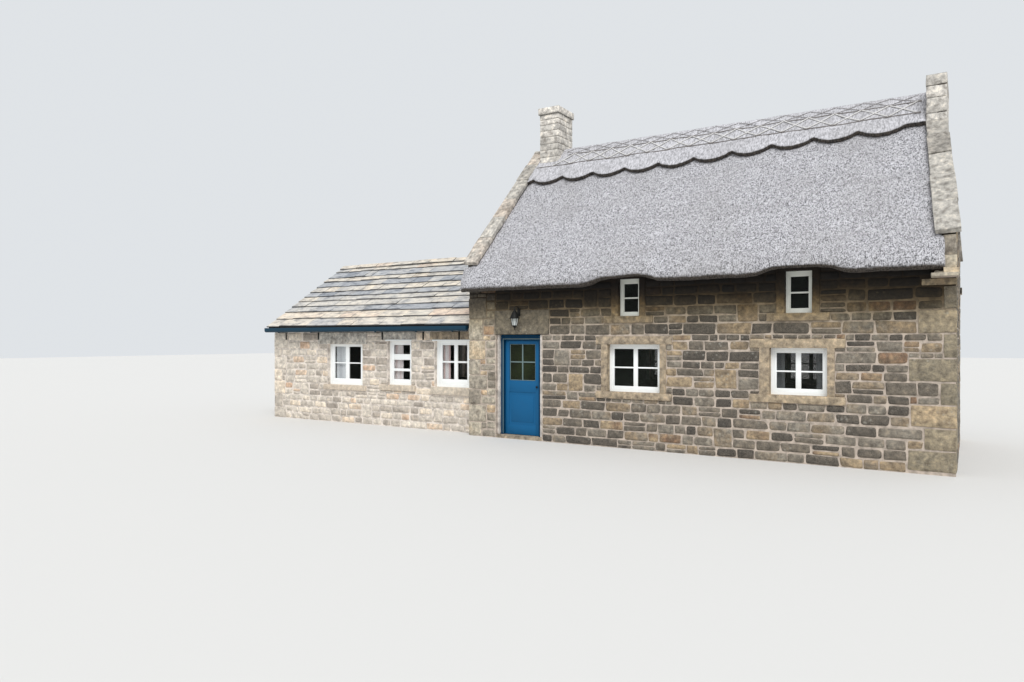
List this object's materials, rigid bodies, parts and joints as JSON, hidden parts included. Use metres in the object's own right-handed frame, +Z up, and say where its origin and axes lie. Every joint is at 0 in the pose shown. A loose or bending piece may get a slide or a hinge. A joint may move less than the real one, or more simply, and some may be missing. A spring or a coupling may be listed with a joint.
{
  "type": "thatched cottage",
  "caption": "Rubble-stone cottage with a thatched roof between coped gable parapets, two stone stacks, a front door that opens inwards, and a lower stone-slated annex.",
  "frame": {"origin": "middle of the footprint's bounding box, at ground level under the walls", "axes": "+X along the front from the annex to the house's right gable, +Y from the front to the back, +Z up"},
  "size_m": [15.3366, 5.99, 7.33],
  "materials": {
    "gritstone": "rough",
    "dressed_stone": "matte",
    "coping_stone": "rough",
    "flagstone": "matte",
    "floorboards": "satin",
    "thatch": "rough",
    "stone_slate": "rough",
    "white_paint": "satin",
    "cream_paint": "satin",
    "pane": "gloss",
    "blue_paint": "satin",
    "black_iron": "satin",
    "teal_paint": "satin"
  },
  "bodies": {
    "house": {"front_wall_left": "gritstone", "front_wall_over_door": "gritstone", "front_wall_right": "gritstone", "back_wall": "gritstone", "left_gable_wall": "gritstone", "right_gable_wall": "gritstone", "left_chimney": "gritstone", "right_gable_stack": "gritstone", "annex_front_wall": "gritstone", "annex_back_wall": "gritstone", "annex_gable_wall": "gritstone", "lower_left_window_surround": "dressed_stone", "lower_right_window_surround": "dressed_stone", "upper_left_window_surround": "dressed_stone", "upper_right_window_surround": "dressed_stone", "door_lintel": "dressed_stone", "door_threshold": "dressed_stone", "left_coping_front": "coping_stone", "left_coping_back": "coping_stone", "right_coping_front": "coping_stone", "right_coping_back": "coping_stone", "ground_floor": "flagstone", "annex_floor": "flagstone", "upper_floor": "floorboards", "thatch_front": "thatch", "thatch_back": "thatch", "thatch_ridge": "thatch", "annex_roof_front": "stone_slate", "annex_roof_back": "stone_slate", "annex_ridge": "stone_slate", "lower_left_window_frame": "white_paint", "lower_right_window_frame": "white_paint", "back_lower_left_window_frame": "white_paint", "back_lower_right_window_frame": "white_paint", "annex_left_window_frame": "white_paint", "annex_middle_window_frame": "white_paint", "annex_right_window_frame": "white_paint", "annex_back_window_frame": "white_paint", "upper_left_window_frame": "cream_paint", "upper_right_window_frame": "cream_paint", "back_upper_window_frame": "cream_paint", "lower_left_window_glass": "pane", "lower_right_window_glass": "pane", "back_lower_left_window_glass": "pane", "back_lower_right_window_glass": "pane", "annex_left_window_glass": "pane", "annex_middle_window_glass": "pane", "annex_right_window_glass": "pane", "annex_back_window_glass": "pane", "upper_left_window_glass": "pane", "upper_right_window_glass": "pane", "back_upper_window_glass": "pane", "door_frame": "blue_paint", "wall_lantern": "black_iron", "annex_gutter_front": "teal_paint", "annex_gutter_back": "teal_paint"},
    "door": {"door_leaf": "blue_paint", "door_glass": "pane", "door_handle": "black_iron"}
  },
  "joints": [
    {"name": "front_door_hinge", "type": "hinge", "parent": "house", "child": "door", "pos_m": [-0.3638, -2.417, 1], "axis": [0, 0, 1], "range_deg": [0, 90]}
  ]
}
